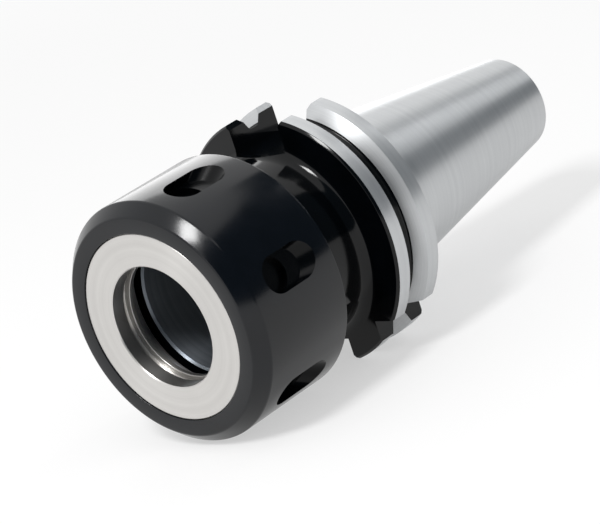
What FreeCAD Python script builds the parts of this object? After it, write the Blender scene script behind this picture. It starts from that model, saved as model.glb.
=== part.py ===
"""Collet chuck holder: a 7:24 steep-taper shank, size 40, with a V-grooved flange and a
ball-bearing clamping nut.  Millimetres.

The tool axis is Y.  The origin is the middle of the gauge plane, where the taper measures its
gauge diameter.  +Y runs up the taper to the pull-stud end, -Y to the nut.  The two drive slots
lie on +Z and -Z.

Four kinds of piece make the chuck: the one-piece turned holder, the nut that screws onto it,
the thrust ring that stays still against the collet, and the balls between nut and ring.  The
balls go in through a hole in the nut's side that a grub screw closes.
"""
import FreeCAD, Part
import math
import os
import Sketcher

doc = FreeCAD.newDocument("ColletChuckHolder")
sheet = doc.addObject("Spreadsheet::Sheet", "Sizes")

# ---------------------------------------------------------------- driving dimensions
SIZES = [
    # taper shank and flange, steep taper size 40
    ("gauge_diameter", 44.45, "taper diameter at the gauge plane"),
    ("taper_ratio", 7.0 / 24.0, "change of diameter for each millimetre of length"),
    ("taper_length", 68.4, "gauge plane to the small end"),
    ("collar_diameter", 44.7, "plain collar between taper and flange"),
    ("flange_diameter", 63.55, "over the two lands"),
    ("flange_front", 19.1, "gauge plane to the flange's front face"),
    ("flange_rear", 3.2, "gauge plane to the flange's rear face"),
    ("flange_edge", 0.6, "chamfer on the flange's outer edges"),
    ("groove_station", 11.1, "gauge plane to the middle of the V-groove"),
    ("groove_root", 56.25, "diameter at the bottom of the V-groove"),
    ("groove_angle", 60.0, "angle between the V-groove's flanks, degrees"),
    ("groove_pin", 7.0, "measuring pin that lies in the V-groove"),
    ("groove_over_pins", 72.3, "over two such pins"),
    # milled cuts in the flange
    ("slot_width", 16.1, "drive slots"),
    ("slot_lip", 2.5, "outside of the flange to the start of the chamfer beside a slot"),
    ("top_slot_floor", 22.8, "tool axis to the floor of the slot on +Z"),
    ("low_slot_floor", 25.0, "tool axis to the floor of the slot on -Z"),
    ("notch_side", 18.5, "slot centre plane to the orientation notch"),
    ("notch_floor", 20.6, "tool axis to the orientation notch, down"),
    # pull-stud end
    ("stud_pilot", 17.0, "pilot bore for the pull stud"),
    ("stud_pilot_depth", 7.0, "depth of the pilot bore"),
    ("stud_core", 14.0, "core of the M16 pull-stud thread"),
    ("stud_depth", 32.0, "small end to the bottom of the thread core"),
    ("coolant_bore", 8.0, "passage down the middle"),
    ("drill_point", 118.0, "point angle of the drills, degrees"),
    ("small_edge", 0.8, "chamfer at the small end"),
    # neck, thread and collet seat
    ("nut_reach", 65.8, "gauge plane to the nut's front face as drawn"),
    ("neck_diameter", 45.0, "between thread and flange"),
    ("neck_fillet", 3.3, "where the neck meets the flange"),
    ("nose_setback", 13.5, "nut's front face to the holder's nose as drawn"),
    ("thread_diameter", 46.7, "M48 x 2 drawn plain at its pitch diameter"),
    ("thread_length", 16.5, "along the holder, from its nose"),
    ("thread_edge", 1.0, "chamfer at the thread's start"),
    ("thread_play", 0.05, "holder's thread to the nut's, radially"),
    ("seat_mouth", 35.05, "collet seat at the nose"),
    ("seat_taper", 0.1, "change of the seat's diameter for each millimetre"),
    ("seat_length", 46.0, "depth of the tapered seat"),
    ("seat_edge", 0.5, "chamfer at the seat's mouth"),
    ("relief_bore", 27.0, "plain bore behind the seat"),
    ("relief_length", 19.0, "length of that bore"),
    # clamping nut
    ("nut_wall", 6.7, "bore for the thrust ring to the outside"),
    ("nut_length", 30.7, "front face to rear face"),
    ("nut_bevel_wide", 2.8, "front bevel, radially"),
    ("nut_bevel_long", 3.2, "front bevel, along the axis"),
    ("nut_rear_edge", 0.8, "chamfer at the rear"),
    ("nut_entry", 50.0, "clearance bore at the nut's rear"),
    ("nut_entry_length", 3.0, "length of that bore"),
    ("nut_pocket", 12.3, "depth of the bore that takes the thrust ring"),
    ("nut_runout", 49.2, "run-out groove ahead of the nut's thread"),
    ("nut_runout_length", 2.0, "length of that groove"),
    ("nut_rest_turn", 16.5, "turn of the nut about Y as drawn, degrees"),
    # spanner recesses round the nut
    ("spanner_count", 6, "recesses round the nut"),
    ("spanner_width", 9.0, "width of a recess and diameter of its round end"),
    ("spanner_station", 12.7, "nut's front face to the round end's centre"),
    ("spanner_travel", 7.7, "round end's centre to the far end's centre"),
    ("spanner_depth", 4.0, "depth of the round blind hole"),
    ("spanner_shelf", 2.5, "depth of the shelf behind it"),
    ("spanner_ramp", 3.3, "length of the ramp that ends the shelf"),
    # thrust ring
    ("ring_diameter", 46.5, "outside"),
    ("ring_play", 0.05, "thrust ring to the nut, radially"),
    ("ring_setback", 0.2, "nut's front face to the ring's"),
    ("ring_length", 11.8, "front face to rear face"),
    ("ring_bore", 30.0, "opening for the tool shank"),
    ("ring_bore_length", 4.0, "front face to the extraction groove"),
    ("ring_edge", 0.3, "chamfer at the opening's front and the ring's outer edge"),
    ("ring_groove", 33.2, "extraction groove"),
    ("ring_groove_length", 2.0, "length of that groove"),
    ("ring_lip_length", 1.2, "lip behind the groove"),
    ("ring_cone_mouth", 38.0, "rear end of the cone that presses on the collet"),
    # ball race
    ("ball_count", 34, "balls in the race"),
    ("ball_diameter", 4.0, "one ball"),
    ("ball_play", 0.06, "ball to the race's flanks"),
    ("race_angle", 90.0, "between the flanks of each half of the race, degrees"),
    ("ball_facets", 10, "flat facets round a ball"),
    ("ball_band", 45.0, "angle between the rows of facets, degrees"),
    ("race_station", 6.0, "nut's front face to the middle of the race"),
    # ball fill hole and its grub screw
    ("fill_hole", 4.4, "hole that the balls go in through"),
    ("plug_play", 0.05, "grub screw to its hole, radially"),
    ("plug_ball_gap", 0.3, "grub screw's end to the balls"),
    ("plug_depth", 0.4, "grub screw below the nut's outside"),
    ("plug_socket", 2.0, "across the flats of the hexagon socket"),
    ("plug_socket_depth", 1.6, "depth of that socket"),
    ("plug_edge", 0.3, "chamfer on the grub screw's outer end"),
    # how far tools run past the surface that they cut
    ("overrun", 1.0, "past a face, so that nothing is left standing"),
]
for row, (alias, value, meaning) in enumerate(SIZES, start=1):
    sheet.set(f"A{row}", meaning)
    sheet.set(f"B{row}", repr(float(value)))
    sheet.setAlias(f"B{row}", alias)
doc.recompute()


class Size:
    """A number together with the sheet formula that gives it, so that both go on together."""

    def __init__(self, value, formula):
        self.value = value
        self.formula = formula

    def joined(self, sign, other, value):
        return Size(value, f"({self.formula} {sign} {other.formula})")

    def __add__(self, other):
        other = as_size(other)
        return self.joined("+", other, self.value + other.value)

    def __sub__(self, other):
        other = as_size(other)
        return self.joined("-", other, self.value - other.value)

    def __mul__(self, other):
        other = as_size(other)
        return self.joined("*", other, self.value * other.value)

    def __truediv__(self, other):
        other = as_size(other)
        return self.joined("/", other, self.value / other.value)

    def __radd__(self, other):
        return as_size(other) + self

    def __rsub__(self, other):
        return as_size(other) - self

    def __rmul__(self, other):
        return as_size(other) * self

    def __neg__(self):
        return Size(-self.value, f"(-{self.formula})")


def as_size(number):
    """A plain number as a Size."""
    return number if isinstance(number, Size) else Size(float(number), repr(float(number)))


def of_angle(name, angle):
    """Sine, cosine or tangent of an angle in degrees."""
    angle = as_size(angle)
    return Size(getattr(math, name)(math.radians(angle.value)), f"{name}({angle.formula} * 1 deg)")


class Sheet:
    """Every driving dimension by its name."""

    def __init__(self, rows):
        for alias, value, meaning in rows:
            setattr(self, alias, Size(float(value), "Sizes." + alias))


s = Sheet(SIZES)


# ---------------------------------------------------------------- helpers
def bind(item, prop, size):
    """Ties a property to a sheet formula."""
    item.setExpression(prop, size.formula)


def plane_of(body, role):
    """One of a body's own origin planes or axes."""
    return next(f for f in body.Origin.OriginFeatures if f.Role == role)


def sketch_on(body, role, name, lift):
    """An empty sketch on an origin plane, moved along the plane's normal."""
    sketch = body.newObject("Sketcher::SketchObject", name)
    sketch.AttachmentSupport = [(plane_of(body, role), "")]
    sketch.MapMode = "FlatFace"
    bind(sketch, "AttachmentOffset.Base.z", as_size(lift))
    return sketch


def ruled(sketch, kind, *where):
    """Adds a dimension to a sketch and ties it to its formula, the last item given."""
    size = as_size(where[-1])
    rule = sketch.addConstraint(Sketcher.Constraint(kind, *where[:-1], size.value))
    bind(sketch, f"Constraints[{rule}]", size)


def pin_point(sketch, edge, end, across, along):
    """Ties one point of a sketch to its distances from the sketch's origin."""
    ruled(sketch, "DistanceX", -1, 1, edge, end, across)
    ruled(sketch, "DistanceY", -1, 1, edge, end, along)


def flat(across, along):
    """A point in a sketch."""
    return FreeCAD.Vector(as_size(across).value, as_size(along).value, 0)


def outline(body, role, name, corners, lift=0):
    """A closed outline of straight edges, one pair of sizes to each corner."""
    sketch = sketch_on(body, role, name, lift)
    count = len(corners)
    for i in range(count):
        sketch.addGeometry(Part.LineSegment(flat(*corners[i]), flat(*corners[(i + 1) % count])))
    for i in range(count):
        sketch.addConstraint(Sketcher.Constraint("Coincident", i, 2, (i + 1) % count, 1))
    for i, (across, along) in enumerate(corners):
        pin_point(sketch, i, 1, across, along)
    return sketch


def disc(body, role, name, centre, diameter, lift=0):
    """A circle with its centre and diameter tied to sizes."""
    sketch = sketch_on(body, role, name, lift)
    circle = Part.Circle(flat(*centre), FreeCAD.Vector(0, 0, 1), diameter.value / 2)
    sketch.addGeometry(circle)
    pin_point(sketch, 0, 3, *centre)
    ruled(sketch, "Diameter", 0, diameter)
    return sketch


def obround(body, role, name, start, end, width, lift):
    """A slot outline along the sketch's vertical, from one round end's centre to the other's."""
    sketch = sketch_on(body, role, name, lift)
    reach = width.value / 2
    up = FreeCAD.Vector(0, 0, 1)
    low, high = start.value, end.value
    sketch.addGeometry(Part.ArcOfCircle(Part.Circle(flat(0, start), up, reach), math.pi, 2 * math.pi))
    sketch.addGeometry(Part.LineSegment(flat(reach, low), flat(reach, high)))
    sketch.addGeometry(Part.ArcOfCircle(Part.Circle(flat(0, end), up, reach), 0, math.pi))
    sketch.addGeometry(Part.LineSegment(flat(-reach, high), flat(-reach, low)))
    for i in range(4):
        following = (i + 1) % 4
        sketch.addConstraint(Sketcher.Constraint("Tangent", i, 2, following, 1))
    pin_point(sketch, 0, 3, 0, start)
    pin_point(sketch, 2, 3, 0, end)
    ruled(sketch, "Radius", 0, width / 2)
    return sketch


def new_body(name):
    """An empty body whose label names the piece."""
    body = doc.addObject("PartDesign::Body", name)
    body.Label = name
    return body


def spun(body, kind, name, sketch):
    """Revolves a sketch about the tool axis, as metal or as a cut."""
    feature = body.newObject(kind, name)
    feature.Profile = (sketch, [""])
    feature.ReferenceAxis = (sketch, ["V_Axis"])
    feature.Angle = 360
    doc.recompute()
    return feature


def turned(body, name, section):
    """Turns a half section, given as radius and station along the axis."""
    return spun(body, "PartDesign::Revolution", name,
                outline(body, "XY_Plane", name + "_section", section))


def grooved(body, name, sketch):
    """Cuts a ring-shaped groove, and checks that it cut."""
    before = body.Shape.Volume
    feature = spun(body, "PartDesign::Groove", name, sketch)
    check_cut(name, before, body.Shape.Volume)
    return feature


def milled(body, name, sketch, depth, reverse=False):
    """Cuts the sketch's outline to a depth, and checks that it cut."""
    before = body.Shape.Volume
    feature = body.newObject("PartDesign::Pocket", name)
    feature.Profile = (sketch, [""])
    feature.Reversed = reverse
    bind(feature, "Length", depth)
    doc.recompute()
    check_cut(name, before, body.Shape.Volume)
    return feature


def check_cut(name, before, after):
    """A cut that points away from the metal removes nothing and shows no error."""
    if after > before - 1e-3:
        raise ValueError(f"{name} removed nothing")


def rims(feature, diameter, station):
    """Names of the full circles of a given size round the tool axis at a station."""
    names = []
    for number, edge in enumerate(feature.Shape.Edges, start=1):
        curve = edge.Curve
        if not isinstance(curve, Part.Circle) or not edge.isClosed():
            continue
        same_size = abs(curve.Radius - diameter.value / 2) < 1e-4
        if same_size and abs(curve.Center.y - station.value) < 1e-4:
            names.append(f"Edge{number}")
    if not names:
        raise ValueError(f"no rim of diameter {diameter.value} at {station.value}")
    return names


def dressed(body, kind, name, amount, places):
    """Chamfers or fillets the rims at the given diameters and stations."""
    base = body.Tip
    names = [edge for diameter, station in places for edge in rims(base, diameter, station)]
    feature = body.newObject(kind, name)
    feature.Base = (base, names)
    bind(feature, "Size" if kind.endswith("Chamfer") else "Radius", amount)
    doc.recompute()
    return feature


def chamfered(body, name, width, places):
    """Breaks edges."""
    return dressed(body, "PartDesign::Chamfer", name, width, places)


# Stations along the tool axis and diameters that more than one piece uses
NUT_FACE = -s.nut_reach
NOSE = NUT_FACE + s.nose_setback
RACE_MIDDLE = NUT_FACE + s.race_station
RING_FACE = NUT_FACE + s.ring_setback
NUT_RING_BORE = s.ring_diameter + 2 * s.ring_play
NUT_THREAD_BORE = s.thread_diameter + 2 * s.thread_play
NUT_DIAMETER = NUT_RING_BORE + 2 * s.nut_wall
RACE_PITCH = s.ring_diameter + s.ring_play


# ---------------------------------------------------------------- holder
def drill_cone(wide, narrow):
    """Length of the cone that a drill leaves between two diameters."""
    return (wide - narrow) / 2 / of_angle("tan", s.drill_point / 2)


def make_holder():
    """Taper, flange, neck, thread and seat: turned from one bar, then milled."""
    body = new_body("holder_body")
    thread_end = NOSE + s.thread_length
    seat_end = NOSE + s.seat_length
    relief_end = seat_end + s.relief_length
    small_end = s.taper_length
    core_end = small_end - s.stud_depth
    small_diameter = s.gauge_diameter - s.taper_length * s.taper_ratio
    turned(body, "holder_turning", [
        (s.seat_mouth / 2, NOSE),
        (s.thread_diameter / 2, NOSE),
        (s.thread_diameter / 2, thread_end),
        (s.neck_diameter / 2, thread_end + (s.thread_diameter - s.neck_diameter) / 2),
        (s.neck_diameter / 2, -s.flange_front),
        (s.flange_diameter / 2, -s.flange_front),
        (s.flange_diameter / 2, -s.flange_rear),
        (s.collar_diameter / 2, -s.flange_rear),
        (s.collar_diameter / 2, 0),
        (s.gauge_diameter / 2, 0),
        (small_diameter / 2, small_end),
        (s.stud_pilot / 2, small_end),
        (s.stud_pilot / 2, small_end - s.stud_pilot_depth),
        (s.stud_core / 2, small_end - s.stud_pilot_depth),
        (s.stud_core / 2, core_end),
        (s.coolant_bore / 2, core_end - drill_cone(s.stud_core, s.coolant_bore)),
        (s.coolant_bore / 2, relief_end + drill_cone(s.relief_bore, s.coolant_bore)),
        (s.relief_bore / 2, relief_end),
        (s.relief_bore / 2, seat_end),
        ((s.seat_mouth - s.seat_length * s.seat_taper) / 2, seat_end),
    ])
    chamfered(body, "thread_start", s.thread_edge, [(s.thread_diameter, NOSE)])
    chamfered(body, "seat_entry", s.seat_edge, [(s.seat_mouth, NOSE)])
    chamfered(body, "small_end_edges", s.small_edge,
              [(small_diameter, small_end), (s.stud_pilot, small_end)])
    chamfered(body, "flange_edges", s.flange_edge,
              [(s.flange_diameter, -s.flange_front), (s.flange_diameter, -s.flange_rear)])
    dressed(body, "PartDesign::Fillet", "neck_root", s.neck_fillet,
            [(s.neck_diameter, -s.flange_front)])
    make_gripper_groove(body)
    make_drive_slots(body)
    return body


def groove_half_width(diameter):
    """Half the V-groove's width at a diameter, from the pins that lie in it."""
    flank = s.groove_angle / 2
    pin_height = (s.groove_over_pins - s.groove_pin - diameter) / 2
    return s.groove_pin / 2 / of_angle("cos", flank) - pin_height * of_angle("tan", flank)


def make_gripper_groove(body):
    """The V-groove that the tool changer's gripper holds."""
    outer = s.flange_diameter + 2 * s.overrun
    wide, narrow = groove_half_width(outer), groove_half_width(s.groove_root)
    grooved(body, "gripper_groove", outline(body, "XY_Plane", "gripper_groove_section", [
        (outer / 2, -s.groove_station - wide),
        (s.groove_root / 2, -s.groove_station - narrow),
        (s.groove_root / 2, -s.groove_station + narrow),
        (outer / 2, -s.groove_station + wide),
    ]))


def make_drive_slots(body):
    """Two drive slots and the orientation notch, milled along the tool axis."""
    start = s.flange_front + s.neck_fillet
    half = s.slot_width / 2
    rim = s.flange_diameter / 2 - s.slot_lip
    beyond = s.flange_diameter / 2 + s.overrun
    flare = half + s.slot_lip + s.overrun
    for name, side, floor in (("top", 1, s.top_slot_floor), ("low", -1, s.low_slot_floor)):
        sketch = outline(body, "XZ_Plane", f"{name}_slot_outline", [
            (-half, side * floor),
            (half, side * floor),
            (half, side * rim),
            (flare, side * beyond),
            (-flare, side * beyond),
            (-half, side * rim),
        ], lift=start)
        milled(body, f"{name}_drive_slot", sketch, start)
    sketch = outline(body, "XZ_Plane", "notch_outline", [
        (s.notch_side, -s.notch_floor),
        (beyond, -s.notch_floor),
        (beyond, -beyond),
        (s.notch_side, -beyond),
    ], lift=start)
    milled(body, "orientation_notch", sketch, start)


# ---------------------------------------------------------------- clamping nut
def cut_race(body, name):
    """The race: a vee in the nut and a vee in the ring, which together hold the balls."""
    flank = s.race_angle / 2
    gap = s.ball_diameter / 2 + s.ball_play
    depth = gap / of_angle("sin", flank)
    half = gap / of_angle("cos", flank)
    grooved(body, name, outline(body, "XY_Plane", name + "_section", [
        (RACE_PITCH / 2 - depth, RACE_MIDDLE),
        (RACE_PITCH / 2, RACE_MIDDLE - half),
        (RACE_PITCH / 2 + depth, RACE_MIDDLE),
        (RACE_PITCH / 2, RACE_MIDDLE + half),
    ]))


def make_nut():
    """The nut: bored for the thrust ring in front, threaded behind, spanner recesses outside."""
    body = new_body("clamping_nut")
    pocket_end = NUT_FACE + s.nut_pocket
    thread_front = pocket_end + s.nut_runout_length
    rear = NUT_FACE + s.nut_length
    thread_rear = rear - s.nut_entry_length
    turned(body, "nut_turning", [
        (NUT_RING_BORE / 2, NUT_FACE),
        (NUT_DIAMETER / 2 - s.nut_bevel_wide, NUT_FACE),
        (NUT_DIAMETER / 2, NUT_FACE + s.nut_bevel_long),
        (NUT_DIAMETER / 2, rear),
        (s.nut_entry / 2, rear),
        (s.nut_entry / 2, thread_rear),
        (NUT_THREAD_BORE / 2, thread_rear),
        (NUT_THREAD_BORE / 2, thread_front),
        (s.nut_runout / 2, thread_front),
        (s.nut_runout / 2, pocket_end),
        (NUT_RING_BORE / 2, pocket_end),
    ])
    chamfered(body, "nut_rear_bevel", s.nut_rear_edge, [(NUT_DIAMETER, rear)])
    cut_race(body, "nut_race")
    fill = disc(body, "YZ_Plane", "fill_outline", (RACE_MIDDLE, 0), s.fill_hole,
                lift=-NUT_DIAMETER / 2 - s.overrun)
    milled(body, "ball_fill_hole", fill, (NUT_DIAMETER - RACE_PITCH) / 2 + s.overrun, reverse=True)
    make_spanner_recesses(body)
    return body


def make_spanner_recesses(body):
    """Recesses for a hook spanner: a round blind hole and a shelf that ramps out behind it."""
    top = NUT_DIAMETER / 2 + s.overrun
    start = NUT_FACE + s.spanner_station
    end = start + s.spanner_travel
    hole = disc(body, "XY_Plane", "spanner_hole_outline", (as_size(0), start), s.spanner_width,
                lift=top)
    hole_cut = milled(body, "spanner_hole", hole, s.spanner_depth + s.overrun)
    slope = s.spanner_ramp / s.spanner_shelf
    mouth = obround(body, "XY_Plane", "shelf_mouth", start, end + s.overrun * slope,
                    s.spanner_width, top)
    floor = obround(body, "XY_Plane", "shelf_floor", start, end - s.spanner_ramp,
                    s.spanner_width, NUT_DIAMETER / 2 - s.spanner_shelf)
    before = body.Shape.Volume
    shelf = body.newObject("PartDesign::SubtractiveLoft", "spanner_shelf")
    shelf.Profile = (mouth, [""])
    shelf.Sections = [floor]
    shelf.Ruled = True
    doc.recompute()
    check_cut("spanner_shelf", before, body.Shape.Volume)
    pattern = body.newObject("PartDesign::PolarPattern", "spanner_recesses")
    pattern.Originals = [hole_cut, shelf]
    pattern.Axis = (plane_of(body, "Y_Axis"), [""])
    pattern.Angle = 360
    bind(pattern, "Occurrences", s.spanner_count)
    body.Tip = pattern
    doc.recompute()


# ---------------------------------------------------------------- thrust ring
def make_ring():
    """The ring that presses on the collet: opening, extraction groove, lip and cone."""
    body = new_body("thrust_ring")
    groove = RING_FACE + s.ring_bore_length
    lip = groove + s.ring_groove_length
    cone = lip + s.ring_lip_length
    rear = RING_FACE + s.ring_length
    turned(body, "ring_turning", [
        (s.ring_bore / 2, RING_FACE),
        (s.ring_diameter / 2, RING_FACE),
        (s.ring_diameter / 2, rear),
        (s.ring_cone_mouth / 2, rear),
        (s.ring_bore / 2, cone),
        (s.ring_bore / 2, lip),
        (s.ring_groove / 2, lip),
        (s.ring_groove / 2, groove),
        (s.ring_bore / 2, groove),
    ])
    chamfered(body, "ring_edges", s.ring_edge,
              [(s.ring_bore, RING_FACE), (s.ring_diameter, RING_FACE), (s.ring_diameter, rear)])
    cut_race(body, "ring_race")
    return body


# ---------------------------------------------------------------- balls and grub screw
def make_ball_rows():
    """Polygons that a ball is lofted through, two each side of its middle."""
    rows = []
    for number, band in enumerate((-3, -1, 1, 3), start=1):
        height = band * s.ball_band / 2
        row = doc.addObject("Part::RegularPolygon", f"ball_row_{number}")
        bind(row, "Polygon", s.ball_facets)
        bind(row, "Circumradius", s.ball_diameter / 2 * of_angle("cos", height))
        bind(row, "Placement.Base.z", s.ball_diameter / 2 * of_angle("sin", height))
        rows.append(row)
    return rows


def make_ball(number, rows):
    """One ball, drawn with flat facets whose corners lie on its sphere, at its place in the race."""
    ball = doc.addObject("Part::Loft", f"bearing_ball_{number:02d}")
    ball.Label = ball.Name
    ball.Sections = rows
    ball.Solid = True
    ball.Ruled = True
    ball.Linearize = True
    turn = as_size(360) * (number - 1) / s.ball_count + s.nut_rest_turn
    bind(ball, "Placement.Base.x", RACE_PITCH / 2 * of_angle("sin", turn))
    bind(ball, "Placement.Base.y", RACE_MIDDLE)
    bind(ball, "Placement.Base.z", RACE_PITCH / 2 * of_angle("cos", turn))
    return ball


def make_plug():
    """The grub screw that closes the fill hole, on the nut's -X side before the nut's turn."""
    body = new_body("ball_fill_plug")
    inner = (RACE_PITCH + s.ball_diameter) / 2 + s.plug_ball_gap
    outer = NUT_DIAMETER / 2 - s.plug_depth
    shank = disc(body, "YZ_Plane", "plug_outline", (RACE_MIDDLE, 0), s.fill_hole - 2 * s.plug_play,
                 lift=-outer)
    pad = body.newObject("PartDesign::Pad", "plug_shank")
    pad.Profile = (shank, [""])
    bind(pad, "Length", outer - inner)
    doc.recompute()
    outer_rim = min(
        (number for number, edge in enumerate(pad.Shape.Edges, start=1) if edge.isClosed()),
        key=lambda number: pad.Shape.Edges[number - 1].CenterOfMass.x,
    )
    bevel = body.newObject("PartDesign::Chamfer", "plug_bevel")
    bevel.Base = (pad, [f"Edge{outer_rim}"])
    bind(bevel, "Size", s.plug_edge)
    doc.recompute()
    corner = s.plug_socket / 2 / of_angle("cos", 30)
    hexagon = [
        (RACE_MIDDLE + corner * of_angle("cos", 60 * i), corner * of_angle("sin", 60 * i))
        for i in range(6)
    ]
    socket = outline(body, "YZ_Plane", "socket_outline", hexagon, lift=-outer)
    milled(body, "hexagon_socket", socket, s.plug_socket_depth, reverse=True)
    return body


# ---------------------------------------------------------------- build, check and write
nut, plug = make_nut(), make_plug()
for turned_piece in (nut, plug):
    turned_piece.Placement = FreeCAD.Placement(
        FreeCAD.Vector(), FreeCAD.Rotation(FreeCAD.Vector(0, 1, 0), s.nut_rest_turn.value))
    bind(turned_piece, "Placement.Rotation.Angle", s.nut_rest_turn)
pieces = [make_holder(), nut, make_ring(), plug]
ball_rows = make_ball_rows()
pieces += [make_ball(number, ball_rows) for number in range(1, round(s.ball_count.value) + 1)]
doc.recompute()

for item in doc.Objects:
    if "Invalid" in item.State or "Error" in item.State:
        raise ValueError(f"{item.Label} failed: {item.State}")

os.makedirs("parts", exist_ok=True)
for piece in pieces:
    shape = piece.Shape
    if shape.isNull() or not shape.isValid() or len(shape.Solids) != 1:
        raise ValueError(f"{piece.Label} isn't one valid solid")
    shape.exportStep(f"parts/{piece.Label}.step")
print(f"{len(pieces)} pieces written, {sum(p.Shape.Volume for p in pieces):.2f} mm3")
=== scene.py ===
# %% [markdown]
# # Collet chuck holder
#
# A tool holder for a milling spindle: a steep taper at the back, a grooved flange in the middle
# and, in front, a clamping nut that squeezes a collet through a thrust ring.  The CAD frame gives
# every size.  Here each piece is turned and milled again with Blender's own tools, so that its
# edges can be broken, its threads cut and its finishes laid on.

# %% Load the frame
import math
from collections import Counter

import bpy
from mathutils import Matrix, Quaternion, Vector


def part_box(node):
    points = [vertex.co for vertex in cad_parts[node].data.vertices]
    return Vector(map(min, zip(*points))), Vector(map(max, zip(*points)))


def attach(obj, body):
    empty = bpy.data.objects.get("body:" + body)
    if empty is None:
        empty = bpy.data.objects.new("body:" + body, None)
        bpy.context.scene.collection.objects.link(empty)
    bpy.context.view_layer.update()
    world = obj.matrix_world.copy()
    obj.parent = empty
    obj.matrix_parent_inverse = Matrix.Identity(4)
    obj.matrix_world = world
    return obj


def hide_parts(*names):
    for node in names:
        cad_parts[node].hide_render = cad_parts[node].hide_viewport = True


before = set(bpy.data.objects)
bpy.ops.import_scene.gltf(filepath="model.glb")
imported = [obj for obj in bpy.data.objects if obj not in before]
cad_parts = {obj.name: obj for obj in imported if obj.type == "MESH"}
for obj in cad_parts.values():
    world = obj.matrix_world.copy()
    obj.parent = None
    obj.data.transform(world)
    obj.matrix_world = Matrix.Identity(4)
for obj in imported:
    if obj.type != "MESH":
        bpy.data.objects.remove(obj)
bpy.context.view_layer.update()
MM = 0.001


# %% [markdown]
# ## Working as by hand
#
# Most operators act on all that is selected, so each step starts from nothing selected.  A turned
# piece starts as a chain of points, its half section.  The chain could come from a curve, but
# extruding one point after another keeps every corner where the drawing has it, and corners can
# still be rounded with a vertex bevel before the section is spun about the tool axis, Y.

# %% Helpers for selecting
def deselect_all():
    """Leaves edit mode and selects nothing."""
    if bpy.context.object and bpy.context.object.mode != "OBJECT":
        bpy.ops.object.mode_set(mode="OBJECT")
    bpy.ops.object.select_all(action="DESELECT")


def choose(piece):
    """Makes one object the only selected and active one."""
    deselect_all()
    piece.select_set(True)
    bpy.context.view_layer.objects.active = piece


def select_points(piece, wanted):
    """In edit mode, selects the vertices for which wanted(place in mm) is true."""
    bpy.ops.mesh.select_all(action="DESELECT")
    bpy.ops.object.mode_set(mode="OBJECT")
    count = 0
    for vertex in piece.data.vertices:
        vertex.select = bool(wanted(vertex.co / MM))
        count += vertex.select
    bpy.ops.object.mode_set(mode="EDIT")
    return count


# %% [markdown]
# ### Turning
#
# On a lathe the section comes from the tool's path, and here from the chain.  A lathe piece could
# also come from the Screw modifier, but the spin operator makes the faces at once, and merging the
# points that meet closes its seam.

# %% Helpers for turning
def chain(name, points):
    """A closed chain of edges through points in mm, extruded one after another."""
    deselect_all()
    bpy.ops.mesh.primitive_plane_add(size=MM, location=(0, 0, 0))
    piece = bpy.context.object
    piece.name = name
    bpy.ops.object.mode_set(mode="EDIT")
    bpy.ops.mesh.merge(type="CENTER")
    bpy.ops.transform.translate(value=Vector(points[0]) * MM)
    for before, after in zip(points, points[1:]):
        step = (Vector(after) - Vector(before)) * MM
        bpy.ops.mesh.extrude_region_move(TRANSFORM_OT_translate={"value": step})
    first, last = Vector(points[0]), Vector(points[-1])
    ends = select_points(piece, lambda p: min((p - first).length, (p - last).length) < 1e-3)
    if ends != 2:
        raise ValueError(f"{name}: {ends} ends to join")
    bpy.ops.mesh.edge_face_add()
    return piece


def round_corners(piece, corners):
    """Rounds corners of a chain: pairs of a place (x, y) in mm and a radius in mm."""
    for (x, y), radius in corners:
        found = select_points(piece, lambda p: abs(p.x - x) < 1e-3 and abs(p.y - y) < 1e-3)
        if found != 1:
            raise ValueError(f"{piece.name}: {found} corners at {x}, {y}")
        bpy.ops.mesh.bevel(offset_type="OFFSET", offset=radius * MM, affect="VERTICES",
                           segments=4, clamp_overlap=False)


def spin_round(piece, steps):
    """Spins the section about the tool axis and closes the seam."""
    bpy.ops.mesh.select_all(action="SELECT")
    bpy.ops.mesh.spin(steps=steps, angle=2 * math.pi, center=(0, 0, 0), axis=(0, 1, 0))
    bpy.ops.mesh.select_all(action="SELECT")
    bpy.ops.mesh.remove_doubles(threshold=1e-6)
    bpy.ops.mesh.normals_make_consistent(inside=False)
    bpy.ops.object.mode_set(mode="OBJECT")
    return piece


def turned(name, corners, rounds, steps=240):
    """A turned piece from its half section (radius, station) in mm."""
    piece = chain(name, [(r, y, 0) for r, y in corners])
    round_corners(piece, rounds)
    spin_round(piece, steps)
    print(f"{name}: {len(piece.data.polygons)} faces")
    return piece


# %% [markdown]
# ## The holder
#
# One bar of case-hardened steel, turned from end to end: nose, threaded neck, flange and taper
# outside, collet seat and pull-stud bore inside.  A real one is turned first and milled after,
# and the same order works here: the section is spun, then two drive slots and the orientation
# notch are cut with booleans.  Small radii on the section's corners catch the light as the broken
# edges of the real one do.

# %% Turn the holder
def stations(node):
    """A node's lowest and highest stations along the tool axis, in mm."""
    low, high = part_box(node)
    return round(low[1] / MM, 3), round(high[1] / MM, 3)


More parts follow.
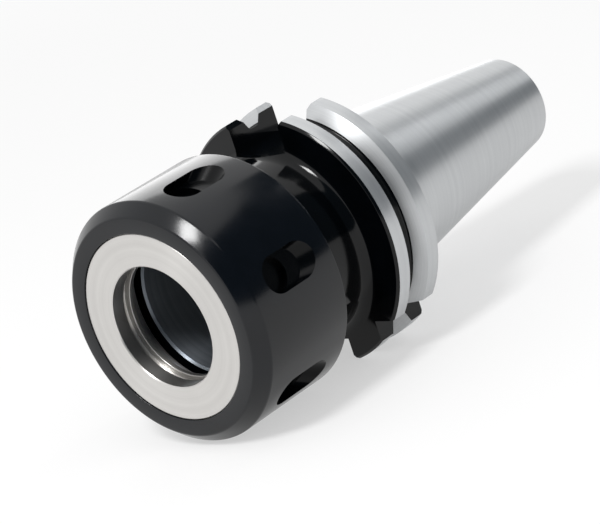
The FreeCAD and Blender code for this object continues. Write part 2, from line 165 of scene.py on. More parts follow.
NOSE, SMALL_END = stations("holder_body")
THREAD_END = -35.8
FLANGE_FRONT = -19.1
FLANGE_REAR = -3.2
FLANGE_RADIUS = 31.775
GROOVE_ROOT = 28.125
NECK_RADIUS = 22.5
EDGE = 0.6
SEAT_MOUTH = 17.5
GROOVE_FRONT, ROOT_FRONT, ROOT_REAR, GROOVE_REAR = -14.636, -12.528, -9.672, -7.564
GROUND_FROM = (28.62, -9.386)
THREAD_ROOT = 22.77
holder_section = [
    # nose, thread and neck
    (18.025, NOSE),
    (THREAD_ROOT - 0.4, NOSE),
    (THREAD_ROOT, NOSE + 0.4),
    (THREAD_ROOT, THREAD_END),
    (NECK_RADIUS, THREAD_END + 0.5),
    (NECK_RADIUS, FLANGE_FRONT),
    # flange with its groove
    (FLANGE_RADIUS - EDGE, FLANGE_FRONT),
    (FLANGE_RADIUS, FLANGE_FRONT + EDGE),
    (FLANGE_RADIUS, GROOVE_FRONT),
    (GROOVE_ROOT, ROOT_FRONT),
    (GROOVE_ROOT, ROOT_REAR),
    GROUND_FROM,
    (FLANGE_RADIUS, GROOVE_REAR),
    (FLANGE_RADIUS, FLANGE_REAR - EDGE),
    (FLANGE_RADIUS - EDGE, FLANGE_REAR),
    # taper, 7 in 24 from 44.45 mm across at the gauge plane
    (22.35, FLANGE_REAR),
    (22.35, 0),
    (22.225, 0.02),
    (12.367, SMALL_END - 0.8),
    (11.45, SMALL_END),
    # pull-stud bore and coolant passage
    (9.3, SMALL_END),
    (8.5, SMALL_END - 0.8),
    (8.5, SMALL_END - 7.0),
    (7.0, SMALL_END - 7.0),
    (7.0, 36.4),
    (4.0, 34.597),
    (4.0, 18.408),
    # relief bore and collet seat
    (13.5, 12.7),
    (13.5, -6.3),
    (15.225, -6.3),
    (SEAT_MOUTH, NOSE + 0.5),
]
holder_rounds = [
    ((NECK_RADIUS, FLANGE_FRONT), 3.3),
    ((FLANGE_RADIUS - EDGE, FLANGE_FRONT), 0.12),
    ((FLANGE_RADIUS, FLANGE_FRONT + EDGE), 0.12),
    ((FLANGE_RADIUS, GROOVE_FRONT), 0.15),
    ((GROOVE_ROOT, ROOT_FRONT), 0.25),
    ((GROOVE_ROOT, ROOT_REAR), 0.2),
    ((FLANGE_RADIUS, GROOVE_REAR), 0.15),
    ((FLANGE_RADIUS, FLANGE_REAR - EDGE), 0.12),
    ((FLANGE_RADIUS - EDGE, FLANGE_REAR), 0.12),
    ((12.367, SMALL_END - 0.8), 0.25),
    ((11.45, SMALL_END), 0.2),
    ((9.3, SMALL_END), 0.1),
]
holder = turned("holder_turned", holder_section, holder_rounds)

# %% [markdown]
# ### Slots and notch
#
# Two keys in the spindle drive the holder by slots across its flange, one deeper than the other,
# and a notch on one side tells a tool changer which way round it sits.  They could be drawn into
# the faces of the flange, but a milling cutter leaves flat floors that run out through it, and a
# boolean with a straight prism gives just that.

# %% Helpers for milling
def prism(name, corners, low, high):
    """A milling cutter: an outline (x, z) in mm carried along the tool axis."""
    cutter = chain(name, [(x, low, z) for x, z in corners])
    bpy.ops.mesh.select_all(action="SELECT")
    bpy.ops.mesh.edge_face_add()
    bpy.ops.mesh.extrude_region_move(
        TRANSFORM_OT_translate={"value": (0, (high - low) * MM, 0)})
    bpy.ops.mesh.select_all(action="SELECT")
    bpy.ops.mesh.normals_make_consistent(inside=False)
    bpy.ops.object.mode_set(mode="OBJECT")
    return cutter


def cut(piece, cutter):
    """Takes a cutter's shape out of a piece, then throws the cutter away."""
    choose(piece)
    bpy.ops.object.modifier_add(type="BOOLEAN")
    step = piece.modifiers[-1]
    step.operation = "DIFFERENCE"
    step.solver = "EXACT"
    step.object = cutter
    before = len(piece.data.polygons)
    bpy.ops.object.modifier_apply(modifier=step.name)
    bpy.data.objects.remove(cutter)
    if len(piece.data.polygons) == before:
        raise ValueError(f"{piece.name}: a cutter missed")


# %% Mill the drive slots and the notch
SLOT_START = -24.0
SLOT_END = FLANGE_REAR + 1.0
HALF_SLOT = 8.05
CHAMFER_START = 29.275
BEYOND = FLANGE_RADIUS + 1.0
flare = HALF_SLOT + BEYOND - CHAMFER_START
for name, side, floor in (("upper_cutter", 1, 22.8), ("lower_cutter", -1, 25.0)):
    outline = [(-HALF_SLOT, side * floor), (HALF_SLOT, side * floor),
               (HALF_SLOT, side * CHAMFER_START), (flare, side * BEYOND),
               (-flare, side * BEYOND), (-HALF_SLOT, side * CHAMFER_START)]
    cut(holder, prism(name, outline, SLOT_START, SLOT_END))
NOTCH_SIDE, NOTCH_FLOOR, NOTCH_END = 18.5, -20.6, 33
notch_outline = [(NOTCH_SIDE, NOTCH_FLOOR), (NOTCH_END, NOTCH_FLOOR),
                 (NOTCH_END, -NOTCH_END), (NOTCH_SIDE, -NOTCH_END)]
cut(holder, prism("notch_cutter", notch_outline, SLOT_START, SLOT_END))
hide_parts("holder_body")
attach(holder, "holder")


# %% [markdown]
# ## The screw threads
#
# The nut runs on a metric thread of 48 mm with 2 mm pitch.  It could be cut out with a boolean, but
# a thread is a ridge carried up a helix, so a small closed section and the Screw modifier make it,
# and each end gets its cap.  The holder's ridge points out and the nut's points in, half a pitch
# further on, so that the two mesh at rest and stay in mesh when the nut turns.

# %% Cut the two threads
PITCH = 2.0
STEPS_PER_TURN = 96


def thread_ridge(name, section, start, turns):
    """A ridge from a section of (radius, offset along the axis) in mm, from start on."""
    ridge = chain(name, [(r, start + y, 0) for r, y in section])
    bpy.ops.object.mode_set(mode="OBJECT")
    choose(ridge)
    bpy.ops.object.modifier_add(type="SCREW")
    screw = ridge.modifiers[-1]
    screw.axis = "Y"
    screw.angle = 2 * math.pi * turns
    screw.screw_offset = PITCH * turns * MM
    screw.steps = screw.render_steps = int(STEPS_PER_TURN * turns)
    screw.use_merge_vertices = False
    bpy.ops.object.modifier_apply(modifier=screw.name)
    bpy.ops.object.mode_set(mode="EDIT")
    last = len(ridge.data.vertices)
    corners = len(section)
    for end in (range(corners), range(last - corners, last)):
        bpy.ops.mesh.select_all(action="DESELECT")
        bpy.ops.object.mode_set(mode="OBJECT")
        for index in end:
            ridge.data.vertices[index].select = True
        bpy.ops.object.mode_set(mode="EDIT")
        bpy.ops.mesh.edge_face_add()
    bpy.ops.mesh.select_all(action="SELECT")
    bpy.ops.mesh.normals_make_consistent(inside=False)
    bpy.ops.mesh.select_all(action="DESELECT")
    bpy.ops.mesh.select_non_manifold()
    bpy.ops.object.mode_set(mode="OBJECT")
    print(name, len(ridge.data.polygons), "faces,",
          sum(v.select for v in ridge.data.vertices), "points on open edges")
    return ridge


male_section = [(22.66, -0.86), (23.93, -0.13), (23.93, 0.13), (22.66, 0.86)]
female_section = [(24.12, -0.80), (22.96, -0.15), (22.96, 0.15), (24.12, 0.80)]
male = thread_ridge("holder_thread", male_section, NOSE + 1.3, turns=7.1)
female = thread_ridge("nut_thread", female_section, NOSE + 1.3 + PITCH / 2, turns=5.9)
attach(male, "holder")
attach(female, "nut")


# %% [markdown]
# ## The clamping nut
#
# A ring of steel 60 mm across with a wide bevel in front.  Inside are the thread, a run-out at
# each end of it and one half of the ball race.  A cylinder could be bored out with booleans, but a
# turned section puts race and run-outs just where the drawing has them.

# %% Turn the nut
NUT_FACE, NUT_REAR = stations("clamping_nut")
NUT_RADIUS = 30.0
nut_section = [
    # front face, bevel and skin
    (23.3, NUT_FACE),
    (27.2, NUT_FACE),
    (NUT_RADIUS, NUT_FACE + 3.2),
    (NUT_RADIUS, NUT_REAR - 0.8),
    (29.2, NUT_REAR),
    (25.0, NUT_REAR),
    # entry, thread wall and run-out
    (25.0, NUT_REAR - 3.0),
    (24.05, NUT_REAR - 3.8),
    (24.05, NUT_FACE + 14.3),
    (24.6, NUT_FACE + 14.3),
    (24.6, NUT_FACE + 12.3),
    (23.3, NUT_FACE + 12.3),
    # race
    (23.3, NUT_FACE + 8.885),
    (26.2, NUT_FACE + 6.0),
    (23.3, NUT_FACE + 3.115),
]
nut_rounds = [
    ((23.3, NUT_FACE), 0.12),
    ((27.2, NUT_FACE), 0.35),
    ((NUT_RADIUS, NUT_FACE + 3.2), 0.35),
    ((NUT_RADIUS, NUT_REAR - 0.8), 0.2),
    ((29.2, NUT_REAR), 0.2),
    ((25.0, NUT_REAR), 0.2),
]
nut = turned("nut_turned", nut_section, nut_rounds, steps=288)

# %% [markdown]
# ### Spanner recesses
#
# Six recesses let a hook spanner bite.  Each is a blind hole with a shelf behind it that ramps out
# to the surface.  Their faces could be drawn by hand, but the real ones are milled, so a cutter is
# shaped from a cylinder, half of whose points are drawn back along the nut, for each place.

# %% Mill the spanner recesses
HOLE_STATION = NUT_FACE + 12.7
NUT_TURN = math.radians(16.5)
RECESS_RADIUS = 4.5
HOLE_FLOOR, SHELF_FLOOR = 26.0, 27.5
CUTTER_TOP = 34.0
SHELF_LENGTH, RAMP_LENGTH = 7.7, 3.3


def drawn_back(cutter, near, distance):
    """Moves the points behind a station back along the nut, if near(place) is true."""
    bpy.ops.object.mode_set(mode="EDIT")
    select_points(cutter, lambda p: p.y > HOLE_STATION + 1e-3 and near(p))
    bpy.ops.transform.translate(value=(0, distance * MM, 0))
    bpy.ops.object.mode_set(mode="OBJECT")


def recess_cutters():
    """The hole's cutter and the shelf's cutter, upright at the top of the nut."""
    made = []
    for name, floor in (("hole_cutter", HOLE_FLOOR), ("shelf_cutter", SHELF_FLOOR)):
        deselect_all()
        bpy.ops.mesh.primitive_cylinder_add(
            vertices=64, radius=RECESS_RADIUS * MM, depth=(CUTTER_TOP - floor) * MM,
            location=(0, HOLE_STATION * MM, (CUTTER_TOP + floor) / 2 * MM))
        cutter = bpy.context.object
        cutter.name = name
        bpy.ops.object.transform_apply(location=True)
        made.append(cutter)
    slope = RAMP_LENGTH / (NUT_RADIUS - SHELF_FLOOR)
    drawn_back(made[1], lambda p: p.z < NUT_RADIUS, SHELF_LENGTH - RAMP_LENGTH)
    drawn_back(made[1], lambda p: p.z > NUT_RADIUS, SHELF_LENGTH + (CUTTER_TOP - NUT_RADIUS) * slope)
    return made


for number in range(6):
    for cutter in recess_cutters():
        choose(cutter)
        cutter.rotation_euler = (0, NUT_TURN + number * math.pi / 3, 0)
        bpy.ops.object.transform_apply(rotation=True)
        cut(nut, cutter)

# %% [markdown]
# ### Filling hole
#
# The balls go into their race through a hole in the nut's side once nut and ring are together.  A
# drill makes it square to the axis, and a boolean with a cylinder does the same.

# %% Drill the hole for the balls
FILL_HOLE_RADIUS, FILL_HOLE_MIDDLE, FILL_HOLE_DEPTH = 2.2, 28.5, 9.0
RACE_STATION = NUT_FACE + 6.0
deselect_all()
hole_middle = Matrix.Rotation(NUT_TURN, 4, "Y") @ Vector((-FILL_HOLE_MIDDLE * MM, 0, 0))
bpy.ops.mesh.primitive_cylinder_add(
    vertices=64, radius=FILL_HOLE_RADIUS * MM, depth=FILL_HOLE_DEPTH * MM,
    rotation=(0, math.pi / 2 + NUT_TURN, 0),
    location=(hole_middle.x, RACE_STATION * MM, hole_middle.z))
bpy.ops.object.transform_apply(location=True, rotation=True)
cut(nut, bpy.context.object)
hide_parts("clamping_nut")
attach(nut, "nut")


# %% [markdown]
# ## The thrust ring
#
# The bright ring that stands still against the collet while the nut turns round it.  Its opening
# has a groove and a lip that pull the collet out again when the nut comes off.  Its outside holds
# the other half of the ball race.  It is turned all over, so it is spun like the holder.

# %% Turn the ring
RING_FACE, RING_REAR = stations("thrust_ring")
ring_section = [
    # front face and race
    (15.3, RING_FACE),
    (22.95, RING_FACE),
    (23.25, RING_FACE + 0.3),
    (23.25, RING_FACE + 2.965),
    (20.362, RING_FACE + 5.8),
    (23.25, RING_FACE + 8.635),
    (23.25, RING_REAR - 0.3),
    (22.95, RING_REAR),
    # cone, lip and groove of the opening
    (19.0, RING_REAR),
    (15.0, RING_FACE + 7.2),
    (15.0, RING_FACE + 6.0),
    (16.6, RING_FACE + 6.0),
    (16.6, RING_FACE + 4.0),
    (15.0, RING_FACE + 4.0),
    (15.0, RING_FACE + 0.3),
]
ring_rounds = [
    ((15.3, RING_FACE), 0.08),
    ((22.95, RING_FACE), 0.08),
    ((15.0, RING_FACE + 7.2), 0.2),
    ((15.0, RING_FACE + 6.0), 0.12),
    ((16.6, RING_FACE + 6.0), 0.2),
    ((16.6, RING_FACE + 4.0), 0.2),
    ((15.0, RING_FACE + 4.0), 0.12),
]
ring = turned("ring_turned", ring_section, ring_rounds, steps=288)
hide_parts("thrust_ring")
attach(ring, "ring")


# %% [markdown]
# ## The balls
#
# A full ring of 4 mm balls runs between nut and thrust ring.  A sphere primitive would do, but it
# crowds its faces at two poles, so one ball is made from a cube whose faces are divided and pushed
# out to a sphere, and is copied to each place that the frame gives.

# %% Make the balls
BALL_RADIUS = 2.0
deselect_all()
bpy.ops.mesh.primitive_cube_add(size=2 * BALL_RADIUS * MM)
first_ball = bpy.context.object
first_ball.name = "ball_pattern"
bpy.ops.object.mode_set(mode="EDIT")
bpy.ops.mesh.subdivide(number_cuts=7)
bpy.ops.transform.tosphere(value=1)
bpy.ops.object.mode_set(mode="OBJECT")
for vertex in first_ball.data.vertices:
    vertex.co = vertex.co.normalized() * BALL_RADIUS * MM
for polygon in first_ball.data.polygons:
    polygon.use_smooth = True
balls = []
ball_nodes = sorted(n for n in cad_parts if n.startswith("bearing_ball"))
for node in ball_nodes:
    low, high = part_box(node)
    middle = (Vector(low) + Vector(high)) / 2
    ball = bpy.data.objects.new(node + "_polished", first_ball.data.copy())
    ball.data.transform(Matrix.Translation(middle))
    bpy.context.collection.objects.link(ball)
    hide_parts(node)
    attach(ball, "ball_set")
    balls.append(ball)
bpy.data.objects.remove(first_ball)
print(f"{len(balls)} balls of {len(balls[0].data.polygons)} faces")

# %% [markdown]
# ## The grub screw
#
# A short screw with a hexagon socket closes the filling hole.  It is made upright from a cylinder
# with its outer edge bevelled, and the socket is cut with a prism of six sides.  Only then is its
# mesh turned into place, because a finished piece's object stays at the origin.

# %% Make the grub screw
PLUG_RADIUS, PLUG_LENGTH, PLUG_TOP, PLUG_BEVEL = 2.15, 4.0, 29.6, 0.3
SOCKET_RADIUS, SOCKET_DEPTH = 1.155, 1.6
deselect_all()
bpy.ops.mesh.primitive_cylinder_add(vertices=64, radius=PLUG_RADIUS * MM, depth=PLUG_LENGTH * MM,
                                    location=(0, 0, (PLUG_TOP - PLUG_LENGTH / 2) * MM))
plug = bpy.context.object
plug.name = "plug_socketed"
bpy.ops.object.transform_apply(location=True)
bpy.ops.object.mode_set(mode="EDIT")
bpy.ops.mesh.select_mode(type="EDGE")
select_points(plug, lambda p: p.z > PLUG_TOP - PLUG_LENGTH / 2)
bpy.ops.mesh.select_mode(type="EDGE")
bpy.ops.mesh.bevel(offset=PLUG_BEVEL * MM, segments=2, affect="EDGES")
bpy.ops.object.mode_set(mode="OBJECT")
deselect_all()
bpy.ops.mesh.primitive_cylinder_add(vertices=6, radius=SOCKET_RADIUS * MM,
                                    depth=2 * SOCKET_DEPTH * MM,
                                    location=(0, 0, PLUG_TOP * MM))
cut(plug, bpy.context.object)
plug.data.transform(Matrix.Translation((0, RACE_STATION * MM, 0))
                    @ Matrix.Rotation(NUT_TURN - math.pi / 2, 4, "Y"))
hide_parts("ball_fill_plug")
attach(plug, "nut")

# %% [markdown]
# ## Shading
#
# A turned wall is round and its corners are crisp.  More faces would show that too, but smooth
# shading up to a set angle gives round walls and sharp edges from the mesh as it is.

# %% Shade the pieces
def smooth(piece, degrees=24):
    """Smooth shading that stays crisp at every corner sharper than the given angle."""
    choose(piece)
    bpy.ops.object.shade_smooth_by_angle(angle=math.radians(degrees))


for piece in (holder, male, female, nut, ring, plug):
    smooth(piece)
    print(piece.name, [round(v / MM, 2) for v in piece.dimensions])


# %% [markdown]
# ## Finishes
#
# Black oxide is magnetite grown on the steel in a hot salt bath and sealed with oil.  It takes a
# mirror only weakly, as glass does, so it is a dark dielectric and not a metal.  Ground steel is a
# bare metal whose grinding lines run round the axis and draw every reflection out along it.

# %% Helpers for materials
def linear(hex_colour):
    """An sRGB hex colour as linear red, green, blue and alpha."""
    parts = [int(hex_colour[i:i + 2], 16) / 255 for i in (1, 3, 5)]
    return [c / 12.92 if c <= 0.04045 else ((c + 0.055) / 1.055) ** 2.4 for c in parts] + [1.0]


def add_node(tree, kind, settings=None, links=None, values=None):
    """Adds a node, sets its properties and socket values, and links sockets to its inputs."""
    node = tree.nodes.new(kind)
    for key, value in (settings or {}).items():
        setattr(node, key, value)
    for key, value in (values or {}).items():
        node.inputs[key].default_value = value
    for key, socket in (links or {}).items():
        tree.links.new(socket, node.inputs[key])
    return node


def empty_material(name):
    """A material with nothing but its output."""
    material = bpy.data.materials.new(name)
    material.use_nodes = True
    tree = material.node_tree
    tree.nodes.clear()
    return material, tree, add_node(tree, "ShaderNodeOutputMaterial")


def surface_material(name):
    """A material with its output, shader and object coordinates."""
    material, tree, output = empty_material(name)
    shader = add_node(tree, "ShaderNodeBsdfPrincipled")
    tree.links.new(shader.outputs["BSDF"], output.inputs["Surface"])
    place = add_node(tree, "ShaderNodeTexCoord").outputs["Object"]
    return material, tree, shader, place


def radius_and_station(tree, place):
    """Distance from the tool axis and station along it, both in millimetres."""
    scaled = add_node(tree, "ShaderNodeVectorMath", {"operation": "SCALE"},
                      {0: place}, {"Scale": 1000}).outputs[0]
    parts = add_node(tree, "ShaderNodeSeparateXYZ", links={0: scaled})
    flat = add_node(tree, "ShaderNodeCombineXYZ",
                    links={"X": parts.outputs["X"], "Z": parts.outputs["Z"]})
    length = add_node(tree, "ShaderNodeVectorMath", {"operation": "LENGTH"},
                      {0: flat.outputs[0]})
    return length.outputs["Value"], parts.outputs["Y"], scaled


def ramp(tree, factor, stops):
    """A colour ramp from pairs of position and hex colour."""
    node = add_node(tree, "ShaderNodeValToRGB", links={"Fac": factor})
    elements = node.color_ramp.elements
    while len(elements) < len(stops):
        elements.new(0.5)
    for element, (position, colour) in zip(elements, stops):
        element.position = position
        element.color = linear(colour)
    return node.outputs["Color"]


def spread(tree, factor, low, high):
    """Maps a factor from 0..1 to low..high."""
    return add_node(tree, "ShaderNodeMapRange", links={"Value": factor},
                    values={"To Min": low, "To Max": high}).outputs["Result"]


# %% [markdown]
# ### Ground steel
#
# A grinding wheel leaves lines a few hundredths of a millimetre apart that run round the piece.
# They are too fine to show, so the pattern is drawn at about 0.12 mm, and the shader's anisotropy,
# with its tangent round the tool axis, does what the finer lines do to the light: a highlight is
# sharp round the piece and drawn out along it.  The taper scatters part of its light, so it isn't
# fully metallic here.  The facing tool's lines on the ring lie at constant radius, and the seat in
# the bore is the same steel with painted shade: its colour is made darker for the little light
# that reaches inside.

# %% Make the ground steel
LINES_PER_MM = 8.0
BANDS_PER_MM = 0.7
CLOUDS_PER_MM = 0.12
QUARTER_TURN = 0.25


def ground_steel(name, light, dark, roughness, anisotropy, along, metallic=1.0):
    """Bare steel with lines at constant station (along) or at constant radius (on a face)."""
    material, tree, shader, place = surface_material(name)
    radius, station, scaled = radius_and_station(tree, place)
    line = station if along else radius
    fine = add_node(tree, "ShaderNodeTexNoise", {"noise_dimensions": "1D"}, {"W": line},
                    {"Scale": LINES_PER_MM, "Detail": 3.0, "Roughness": 0.7}).outputs["Fac"]
    broad = add_node(tree, "ShaderNodeTexNoise", {"noise_dimensions": "1D"}, {"W": line},
                     {"Scale": BANDS_PER_MM, "Detail": 2.0, "Roughness": 0.5}).outputs["Fac"]
    cloud = add_node(tree, "ShaderNodeTexNoise", {}, {"Vector": scaled},
                     {"Scale": CLOUDS_PER_MM, "Detail": 3.0, "Roughness": 0.55}).outputs["Fac"]
    mixed = add_node(tree, "ShaderNodeMath", {"operation": "MULTIPLY_ADD"},
                     {0: broad, 2: fine}, {1: 0.6}).outputs[0]
    tone = add_node(tree, "ShaderNodeMath", {"operation": "MULTIPLY_ADD"},
                    {0: cloud, 2: mixed}, {1: 0.35}).outputs[0]
    colour = ramp(tree, add_node(tree, "ShaderNodeMapRange", links={"Value": tone},
                                 values={"From Min": 0.6, "From Max": 1.35}).outputs["Result"],
                  [(0.0, dark), (1.0, light)])
    tree.links.new(colour, shader.inputs["Base Color"])
    tree.links.new(spread(tree, mixed, roughness - 0.05, roughness + 0.05),
                   shader.inputs["Roughness"])
    bump = add_node(tree, "ShaderNodeBump", links={"Height": fine},
                    values={"Strength": 0.12, "Distance": 0.00002})
    tree.links.new(bump.outputs["Normal"], shader.inputs["Normal"])
    shader.inputs["Metallic"].default_value = metallic
    shader.inputs["Anisotropic"].default_value = anisotropy
    shader.inputs["Anisotropic Rotation"].default_value = QUARTER_TURN
    tangent = add_node(tree, "ShaderNodeTangent", {"direction_type": "RADIAL", "axis": "Y"})
    tree.links.new(tangent.outputs["Tangent"], shader.inputs["Tangent"])
    return material


# The taper and the flange's rim are pale and soft, with light drawn out along the axis.
taper_steel = ground_steel("ground_case_hardened_steel", "#d3d5d6", "#c2c4c6", roughness=0.34,
                           anisotropy=0.7, along=True, metallic=0.72)
# The ring's face has fine circles, which draw each light out from the middle to the rim.
face_steel = ground_steel("face_turned_steel", "#d8d6d3", "#cac8c5", roughness=0.30,
                          anisotropy=0.75, along=False)
# The seat and the bores are honed steel painted dark grey: painted shade, as little light reaches
# in.
bore_steel_painted_shade = ground_steel("honed_steel_painted_shade", "#8a9096", "#6a7078", roughness=0.38,
                          anisotropy=0.75, along=True, metallic=0.8)


# %% [markdown]
# ### Black oxide
#
# The oiled oxide is nearly black with a blue cast, and its gloss varies softly where the oil has
# dried.  Fine speckle from the steel's grain, drawn at 0.2 mm, keeps large faces from looking like
# plastic.

# %% Make the black oxide
OIL_PATCHES_PER_MM = 0.09
GRAINS_PER_MM = 5.0


def black_oxide(name, light, dark, roughness, gloss):
    """Hot-blackened steel with a thin coat of oil."""
    material, tree, shader, place = surface_material(name)
    _, station, scaled = radius_and_station(tree, place)
    cloud = add_node(tree, "ShaderNodeTexNoise", {}, {"Vector": scaled},
                     {"Scale": OIL_PATCHES_PER_MM, "Detail": 4.0, "Roughness": 0.6}).outputs["Fac"]
    grain = add_node(tree, "ShaderNodeTexNoise", {}, {"Vector": scaled},
                     {"Scale": GRAINS_PER_MM, "Detail": 2.0, "Roughness": 0.6}).outputs["Fac"]
    lines = add_node(tree, "ShaderNodeTexNoise", {"noise_dimensions": "1D"}, {"W": station},
                     {"Scale": GRAINS_PER_MM, "Detail": 2.0, "Roughness": 0.6}).outputs["Fac"]
    tree.links.new(ramp(tree, cloud, [(0.3, dark), (0.7, light)]), shader.inputs["Base Color"])
    mixed = add_node(tree, "ShaderNodeMath", {"operation": "MULTIPLY_ADD"},
                     {0: cloud, 2: grain}, {1: 1.0}).outputs[0]
    tree.links.new(add_node(tree, "ShaderNodeMapRange", links={"Value": mixed},
                            values={"From Min": 0.7, "From Max": 1.3, "To Min": roughness - 0.04,
                                    "To Max": roughness + 0.04}).outputs["Result"],
                   shader.inputs["Roughness"])
    height = add_node(tree, "ShaderNodeMath", {"operation": "MULTIPLY_ADD"},
                      {0: lines, 2: grain}, {1: 0.7}).outputs[0]
    bump = add_node(tree, "ShaderNodeBump", links={"Height": height},
                    values={"Strength": 0.10, "Distance": 0.00002})
    tree.links.new(bump.outputs["Normal"], shader.inputs["Normal"])
    shader.inputs["IOR"].default_value = 1.5
    shader.inputs["Specular IOR Level"].default_value = gloss
    return material


# The nut's skin is blue-black and reflects most.
nut_black = black_oxide("oiled_black_oxide", "#070b12", "#04070c", roughness=0.16, gloss=0.4)
# The holder's body is a deeper black.  It reflects less, but more sharply.
body_black = black_oxide("glossy_black_oxide", "#040609", "#020304", roughness=0.10, gloss=0.28)
# The recesses keep the cutter's marks, so they are the dullest, and their darkest colour is painted
# shade in the hollows.
milled_black_painted_shade = black_oxide("milled_oxide_painted_shade", "#030406", "#010203", roughness=0.22, gloss=0.18)


# %% [markdown]
# ### Polished balls
#
# Bearing balls are lapped to a mirror that shows small sharp lights.  They could have a material
# of their own, but they get the ground steel's, with low roughness and no grain direction.

# %% Make the polished steel
polished_steel = ground_steel("lapped_bearing_steel", "#d8d8d8", "#d0d0d0", roughness=0.1,
                              anisotropy=0.0, along=True)


# %% [markdown]
# ## Laying the finishes on
#
# After blackening, the holder's taper, its flange's rim and the rear flank of the groove are
# ground bright again, so one turned piece carries three finishes, and the nut carries two.  They
# could be masked in one material, but a real border follows an edge, so each face takes its finish
# by where it lies: its distance from the axis and its station along it.

# %% Helpers for finishes by place
BORES_END = 60.0
LAND_START = FLANGE_FRONT + EDGE + 0.02


def finish_by_place(piece, materials, choice):
    """Gives each face one of the materials, chosen from radius, station and normal."""
    for material in materials:
        piece.data.materials.append(material)
    for face in piece.data.polygons:
        centre = face.center / MM
        radius = math.hypot(centre.x, centre.z)
        outward = (face.normal.x * centre.x + face.normal.z * centre.z) / max(radius, 1e-6)
        face.material_index = choice(radius, centre.y, outward)
    counts = Counter(face.material_index for face in piece.data.polygons)
    print(piece.name, [(m.name, counts[i]) for i, m in enumerate(materials)])


def holder_finish(radius, station, outward):
    """0 black, 1 ground, 2 bored steel with painted shade."""
    if outward < -0.5 or (outward < 0.5 and radius < SEAT_MOUTH + 0.1 and station < BORES_END):
        return 2
    if station > FLANGE_REAR - 0.2:
        return 1
    rear_flank = radius > GROUND_FROM[0] and station > GROUND_FROM[1] and outward > 0.2
    front_land = (LAND_START < station < GROOVE_FRONT + 0.1
                  and radius > FLANGE_RADIUS - 0.175 and outward > 0.9)
    return 1 if rear_flank or front_land else 0


def nut_finish(radius, station, outward):
    """0 on the turned skin, 1 on the milled walls and floors of the recesses, darkened with painted
    shade.
    """
    along = HOLE_STATION - 5.2 < station < HOLE_STATION + 13.5
    below_skin = HOLE_FLOOR - 0.5 < radius < NUT_RADIUS - 0.015
    wall_or_floor = outward < 0.999 or radius < SHELF_FLOOR + 1.0
    return 1 if along and below_skin and wall_or_floor else 0


# %% Give every face its finish
# The bores take steel whose darker colour is painted shade.
finish_by_place(holder, [body_black, taper_steel, bore_steel_painted_shade], holder_finish)
# The nut's recesses take a dull black oxide whose darker colour is painted shade.
finish_by_place(nut, [nut_black, milled_black_painted_shade], nut_finish)
for piece, material in ((male, body_black), (female, nut_black),
                        (plug, nut_black), (ring, face_steel)):
    piece.data.materials.append(material)
for ball in balls:
    ball.data.materials.append(polished_steel)


# %% [markdown]
# ## Stage, light and camera
#
# Polished pieces show what is round them more than their own colour.  As in a studio, the chuck
# lies on white, with white all round, a dark card behind it on the right, and lamps above.  The
# card and the lamps are seen only in reflections.

# %% Floor
FLOOR = round(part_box("holder_body")[0][2] / MM, 2) - 0.05
CARD_RADIUS, CARD_HEIGHT = 1.3, 1.5


def seen_directly(tree):
    """1 for what the camera, a mirror or glass sees, 0 for light that falls on surfaces."""
    path = add_node(tree, "ShaderNodeLightPath")
    first = add_node(tree, "ShaderNodeMath", {"operation": "MAXIMUM"},
                     {0: path.outputs["Is Camera Ray"], 1: path.outputs["Is Glossy Ray"]})
    both = add_node(tree, "ShaderNodeMath", {"operation": "MAXIMUM"},
                    {0: first.outputs[0], 1: path.outputs["Is Transmission Ray"]})
    return both.outputs[0]


deselect_all()
bpy.ops.mesh.primitive_plane_add(size=8.0, location=(0, 0, FLOOR * MM))
floor = bpy.context.object
floor.name = "studio_floor"
# Matt white paper keeps the object's shadow and shows white in mirrors.
material, tree, output = empty_material("white_paper")
paper = add_node(tree, "ShaderNodeBsdfDiffuse", values={"Color": linear("#b4b4b4")})
glow = add_node(tree, "ShaderNodeEmission",
                links={"Strength": spread(tree, seen_directly(tree), 0, 0.52)})
both = add_node(tree, "ShaderNodeAddShader", links={0: paper.outputs[0], 1: glow.outputs[0]})
tree.links.new(both.outputs[0], output.inputs["Surface"])
floor.data.materials.append(material)

# %% [markdown]
# ### Dark card
#
# A mirror with only white round it looks like paper.  A dark card beyond the taper gives that side
# of it the grey that shows its roundness.  A flat card would end in a straight edge there, so this
# one is bent: the wall of a wide cylinder, cut down to the part that is needed.

# %% Dark card
CARD_FROM, CARD_TO = -66, 100
deselect_all()
bpy.ops.mesh.primitive_cylinder_add(vertices=128, radius=CARD_RADIUS, depth=CARD_HEIGHT,
                                    end_fill_type="NOTHING",
                                    location=(0, 0, FLOOR * MM + CARD_HEIGHT / 2))
card = bpy.context.object
card.name = "dark_card"
bpy.ops.object.transform_apply(location=True)
bpy.ops.object.mode_set(mode="EDIT")
select_points(card, lambda p: not CARD_FROM < math.degrees(math.atan2(p.y, p.x)) < CARD_TO)
bpy.ops.mesh.delete(type="VERT")
bpy.ops.object.mode_set(mode="OBJECT")
# Grey-blue cloth gives one even tone to whatever mirrors it.
material, tree, output = empty_material("dark_cloth")
cloth = add_node(tree, "ShaderNodeEmission", values={"Color": linear("#465058"), "Strength": 1.0})
tree.links.new(cloth.outputs[0], output.inputs["Surface"])
card.data.materials.append(material)
card.visible_camera = card.visible_diffuse = card.visible_shadow = False

# %% [markdown]
# ### World and lamps
#
# A white world is the studio's tent.  It shows as white behind the object and in mirrors, and it
# lights surfaces less strongly, so that pale steel keeps its tone.  Three soft lamps draw the
# highlights: a window over the nut, a softbox behind it on the left and a strip along the taper.

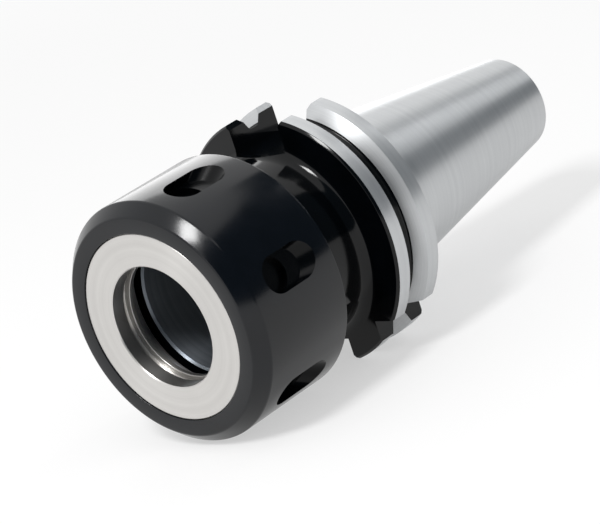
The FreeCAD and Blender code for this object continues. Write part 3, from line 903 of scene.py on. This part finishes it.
# %% World and lamps
world = bpy.data.worlds.new("white_studio")
bpy.context.scene.world = world
world.use_nodes = True
tree = world.node_tree
tree.nodes.clear()
sky = add_node(tree, "ShaderNodeBackground", values={"Color": linear("#ffffff")},
               links={"Strength": spread(tree, seen_directly(tree), 0.6, 1.0)})
tree.links.new(sky.outputs[0], add_node(tree, "ShaderNodeOutputWorld").inputs["Surface"])


def lamp(name, direction, distance, width, height, power, target):
    """A soft rectangular lamp in a given direction from a target in mm, facing it."""
    light = bpy.data.lights.new(name, "AREA")
    light.shape = "RECTANGLE"
    light.size, light.size_y = width, height
    light.energy = power
    stand = bpy.data.objects.new(name, light)
    bpy.context.collection.objects.link(stand)
    away = Vector(direction).normalized()
    stand.location = Vector(target) * MM + away * distance
    stand.rotation_mode = "QUATERNION"
    stand.rotation_quaternion = away.to_track_quat("Z", "Y")
    stand.visible_camera = False


lamp("window", direction=(0.13, -0.56, 0.82), distance=0.9, width=0.20, height=0.26, power=5.0,
     target=(15, -62, 22))
lamp("softbox", direction=(-0.72, 0.64, 0.30), distance=1.2, width=0.55, height=0.62, power=1.9,
     target=(0, -50, 30))
lamp("strip", direction=(0.20, 0.87, 0.46), distance=1.1, width=0.05, height=0.5, power=0.75,
     target=(14, 35, 11))

# %% [markdown]
# ### Camera
#
# A long lens from 70 cm keeps the circles of nut and flange nearly alike.  The camera could be
# turned by three angles, but a place, a point to aim at and a roll about the view say more plainly
# where it looks.  The lens is shifted a little, to seat the object in the frame.

# %% Camera
LENS = 177.522
SHIFT = (-0.017933, -0.044433)
CAMERA_PLACE = Vector((490.809, -478.035, 190.255))
AIM = Vector((2.132, -14.390, -0.096))
ROLL = -18.543
camera_data = bpy.data.cameras.new("camera")
camera = bpy.data.objects.new("camera", camera_data)
bpy.context.collection.objects.link(camera)
bpy.context.scene.camera = camera
camera_data.sensor_width = 36.0
camera_data.lens = LENS
camera_data.shift_x, camera_data.shift_y = SHIFT
camera_data.clip_start, camera_data.clip_end = 0.01, 20
view = (AIM - CAMERA_PLACE).to_track_quat("-Z", "Y")
turn = view @ Quaternion((0, 0, 1), math.radians(ROLL))
camera.matrix_world = Matrix.Translation(CAMERA_PLACE * MM) @ turn.to_matrix().to_4x4()
bpy.context.scene.view_settings.view_transform = "Standard"
print(f"camera: {(AIM - CAMERA_PLACE).length:.0f} mm from what it aims at")
